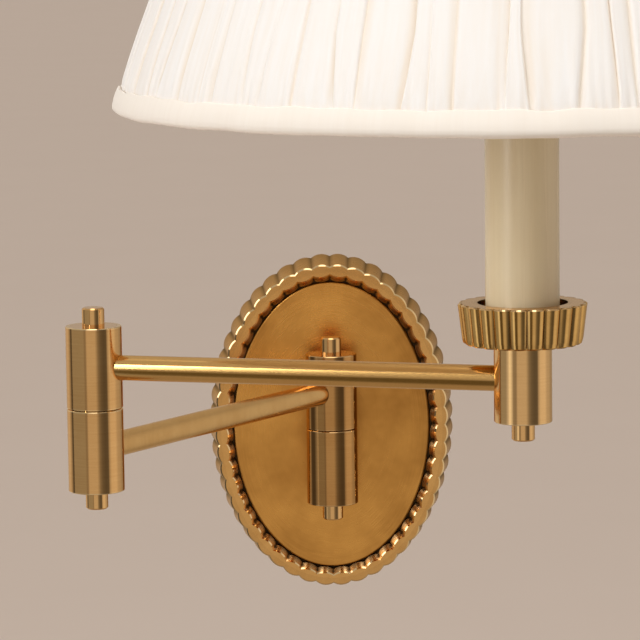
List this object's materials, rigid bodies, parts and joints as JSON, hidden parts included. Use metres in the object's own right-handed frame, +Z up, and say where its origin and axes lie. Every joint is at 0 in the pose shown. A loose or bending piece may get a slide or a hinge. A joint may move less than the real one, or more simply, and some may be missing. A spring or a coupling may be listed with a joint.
{
  "type": "swing arm wall sconce",
  "caption": "Brass swing arm wall light: reeded oval backplate, hinged arms, candle tube in a reeded cup and a gathered empire shade.",
  "frame": {"origin": "middle of the backplate's back, on the wall", "axes": "+Z up the wall, -Y out of the wall towards the viewer, +X to the viewer's right"},
  "size_m": [0.2982, 0.3422, 0.3708],
  "materials": {
    "satin_brass": "satin, fine turned brushing",
    "polished_brass": "polished",
    "cast_brass": "antique satin",
    "panel_brass": "polished, slightly tarnished",
    "zinc_steel": "zinc plated",
    "earth_brass": "plain",
    "washer_nylon": "matte",
    "terminal_nylon": "matte",
    "candle_ivory": "satin ivory paint",
    "holder_plastic": "matte",
    "bulb_cap_metal": "plain",
    "bulb_glass": "clear",
    "frame_white": "white powder coat",
    "lining_cloth": "plain woven",
    "shade_cloth": "fine cotton voile, gathered",
    "trim_cloth": "bias-cut band"
  },
  "bodies": {
    "wall_plate": {"mounting_strap": "zinc_steel", "plate_lock_screw": "zinc_steel", "earth_screw": "earth_brass", "terminal_block": "terminal_nylon", "backplate_rim": "cast_brass", "backplate_panel": "panel_brass", "panel_screws": "zinc_steel", "pivot_stem": "satin_brass", "stem_washer": "zinc_steel", "stem_nut": "zinc_steel", "wall_knuckle_lower": "satin_brass", "wall_pivot_nipple": "zinc_steel", "wall_nipple_nut": "zinc_steel", "wall_friction_washer": "washer_nylon", "wall_swivel_nut": "zinc_steel", "wall_bottom_finial": "polished_brass"},
    "rear_arm": {"wall_knuckle_upper": "satin_brass", "wall_spring_washer": "zinc_steel", "wall_top_finial": "polished_brass", "rear_arm_tube": "satin_brass", "elbow_knuckle_lower": "satin_brass", "elbow_pivot_nipple": "zinc_steel", "elbow_nipple_nut": "zinc_steel", "elbow_friction_washer": "washer_nylon", "elbow_swivel_nut": "zinc_steel", "elbow_bottom_finial": "polished_brass"},
    "front_arm": {"elbow_knuckle_upper": "satin_brass", "elbow_spring_washer": "zinc_steel", "elbow_top_finial": "polished_brass", "front_arm_tube": "satin_brass", "lamp_barrel": "satin_brass", "lamp_bottom_finial": "polished_brass", "candle_cup": "cast_brass", "candle_nut": "zinc_steel", "candle_tube": "candle_ivory", "lampholder_nipple": "zinc_steel", "lampholder_nut": "zinc_steel", "lampholder_body": "holder_plastic", "lampholder_shell": "earth_brass", "lampholder_contact": "earth_brass", "shade_ring": "holder_plastic", "bulb_cap": "bulb_cap_metal", "bulb_glass": "bulb_glass", "shade_bottom_ring": "frame_white", "shade_top_ring": "frame_white", "shade_struts": "frame_white", "shade_spider": "frame_white", "shade_lining": "lining_cloth", "shade_cover": "shade_cloth", "shade_bottom_trim": "trim_cloth", "shade_top_trim": "trim_cloth"}
  },
  "joints": [
    {"name": "wall_swing", "type": "hinge", "parent": "wall_plate", "child": "rear_arm", "pos_m": [0, -0.0315, 0.0015], "axis": [0, 0, 1], "range_deg": [-57, 123]},
    {"name": "elbow_swing", "type": "hinge", "parent": "rear_arm", "child": "front_arm", "pos_m": [-0.08419, -0.16164, 0.031], "axis": [0, 0, 1], "range_deg": [-257, 42]}
  ]
}
